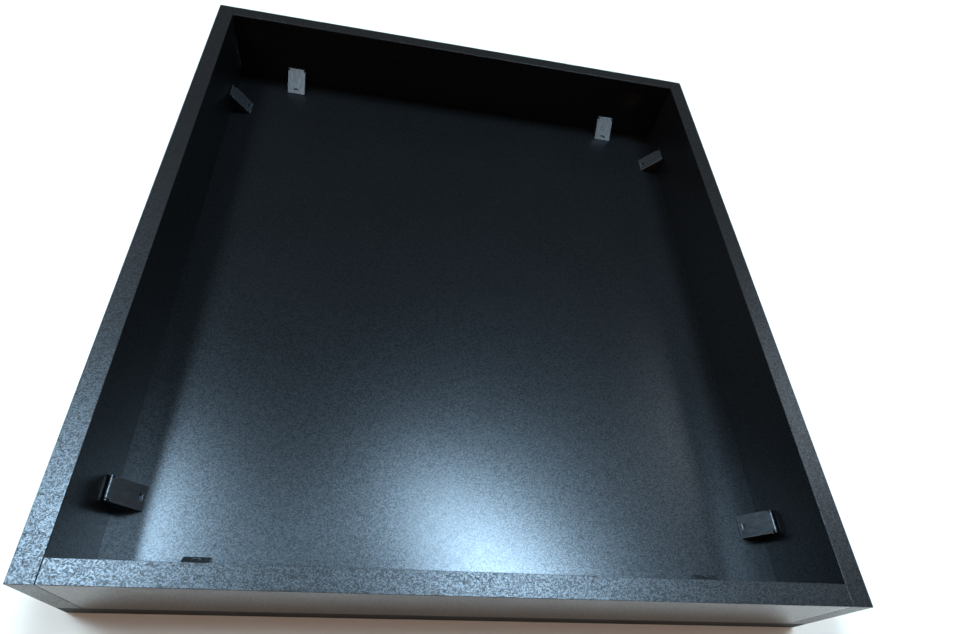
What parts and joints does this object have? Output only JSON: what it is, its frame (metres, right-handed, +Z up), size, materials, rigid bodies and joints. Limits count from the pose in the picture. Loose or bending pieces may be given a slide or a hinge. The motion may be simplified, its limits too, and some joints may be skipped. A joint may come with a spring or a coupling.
{
  "type": "shadow box",
  "caption": "Shallow open display tray of dark speckled board, with walls standing on a full back panel and held by plastic corner blocks under hinged screw caps.",
  "frame": {"origin": "centre of the back panel's outer face, which is the bottom of the bounding box as the tray lies on its back", "axes": "+Z up out of the open side, +Y from the front wall to the rear wall along the longer side, +X from the left wall to the right wall"},
  "size_m": [0.56, 0.65, 0.082],
  "materials": {
    "board": "charcoal melamine facing with fine pale metallic speckle, semi-gloss, over particle board",
    "edging": "charcoal speckled edging strip, satin",
    "beech": "plain beech, unfinished, fluted",
    "block_plastic": "black moulded nylon, fine satin grain",
    "cap_plastic": "charcoal moulded plastic, satin",
    "screw_steel": "zinc plated, bright"
  },
  "bodies": {
    "tray": {"back_panel": "board", "left_wall": "board", "right_wall": "board", "front_wall": "board", "rear_wall": "board", "left_rim_edging": "edging", "right_rim_edging": "edging", "front_rim_edging": "edging", "rear_rim_edging": "edging", "left_front_end_edging": "edging", "left_rear_end_edging": "edging", "right_front_end_edging": "edging", "right_rear_end_edging": "edging", "panel_front_edging": "edging", "panel_rear_edging": "edging", "panel_left_edging": "edging", "panel_right_edging": "edging", "dowel_front_left_lower": "beech", "dowel_front_left_upper": "beech", "dowel_front_right_lower": "beech", "dowel_front_right_upper": "beech", "dowel_rear_left_lower": "beech", "dowel_rear_left_upper": "beech", "dowel_rear_right_lower": "beech", "dowel_rear_right_upper": "beech", "block_left_front": "block_plastic", "block_right_front": "block_plastic", "block_left_rear": "block_plastic", "block_right_rear": "block_plastic", "block_front_left": "block_plastic", "block_rear_left": "block_plastic", "block_front_right": "block_plastic", "block_rear_right": "block_plastic", "wall_screw_left_front": "screw_steel", "panel_screw_left_front": "screw_steel", "wall_screw_right_front": "screw_steel", "panel_screw_right_front": "screw_steel", "wall_screw_left_rear": "screw_steel", "panel_screw_left_rear": "screw_steel", "wall_screw_right_rear": "screw_steel", "panel_screw_right_rear": "screw_steel", "wall_screw_front_left": "screw_steel", "panel_screw_front_left": "screw_steel", "wall_screw_rear_left": "screw_steel", "panel_screw_rear_left": "screw_steel", "wall_screw_front_right": "screw_steel", "panel_screw_front_right": "screw_steel", "wall_screw_rear_right": "screw_steel", "panel_screw_rear_right": "screw_steel"},
    "cap_left_front": {"cap_left_front": "cap_plastic"},
    "cap_right_front": {"cap_right_front": "cap_plastic"},
    "cap_left_rear": {"cap_left_rear": "cap_plastic"},
    "cap_right_rear": {"cap_right_rear": "cap_plastic"},
    "cap_front_left": {"cap_front_left": "cap_plastic"},
    "cap_rear_left": {"cap_rear_left": "cap_plastic"},
    "cap_front_right": {"cap_front_right": "cap_plastic"},
    "cap_rear_right": {"cap_rear_right": "cap_plastic"}
  },
  "joints": [
    {"name": "cap_left_front_hinge", "type": "hinge", "parent": "tray", "child": "cap_left_front", "pos_m": [-0.2621, -0.245, 0.03398], "axis": [0, -1, 0], "range_deg": [0, 120]},
    {"name": "cap_right_front_hinge", "type": "hinge", "parent": "tray", "child": "cap_right_front", "pos_m": [0.2621, -0.245, 0.03398], "axis": [0, 1, 0], "range_deg": [0, 120]},
    {"name": "cap_left_rear_hinge", "type": "hinge", "parent": "tray", "child": "cap_left_rear", "pos_m": [-0.2621, 0.245, 0.03398], "axis": [0, -1, 0], "range_deg": [0, 120]},
    {"name": "cap_right_rear_hinge", "type": "hinge", "parent": "tray", "child": "cap_right_rear", "pos_m": [0.2621, 0.245, 0.03398], "axis": [0, 1, 0], "range_deg": [0, 120]},
    {"name": "cap_front_left_hinge", "type": "hinge", "parent": "tray", "child": "cap_front_left", "pos_m": [-0.197, -0.3071, 0.03398], "axis": [1, 0, 0], "range_deg": [0, 120]},
    {"name": "cap_rear_left_hinge", "type": "hinge", "parent": "tray", "child": "cap_rear_left", "pos_m": [-0.197, 0.3071, 0.03398], "axis": [-1, 0, 0], "range_deg": [0, 120]},
    {"name": "cap_front_right_hinge", "type": "hinge", "parent": "tray", "child": "cap_front_right", "pos_m": [0.197, -0.3071, 0.03398], "axis": [1, 0, 0], "range_deg": [0, 120]},
    {"name": "cap_rear_right_hinge", "type": "hinge", "parent": "tray", "child": "cap_rear_right", "pos_m": [0.197, 0.3071, 0.03398], "axis": [-1, 0, 0], "range_deg": [0, 120]}
  ]
}
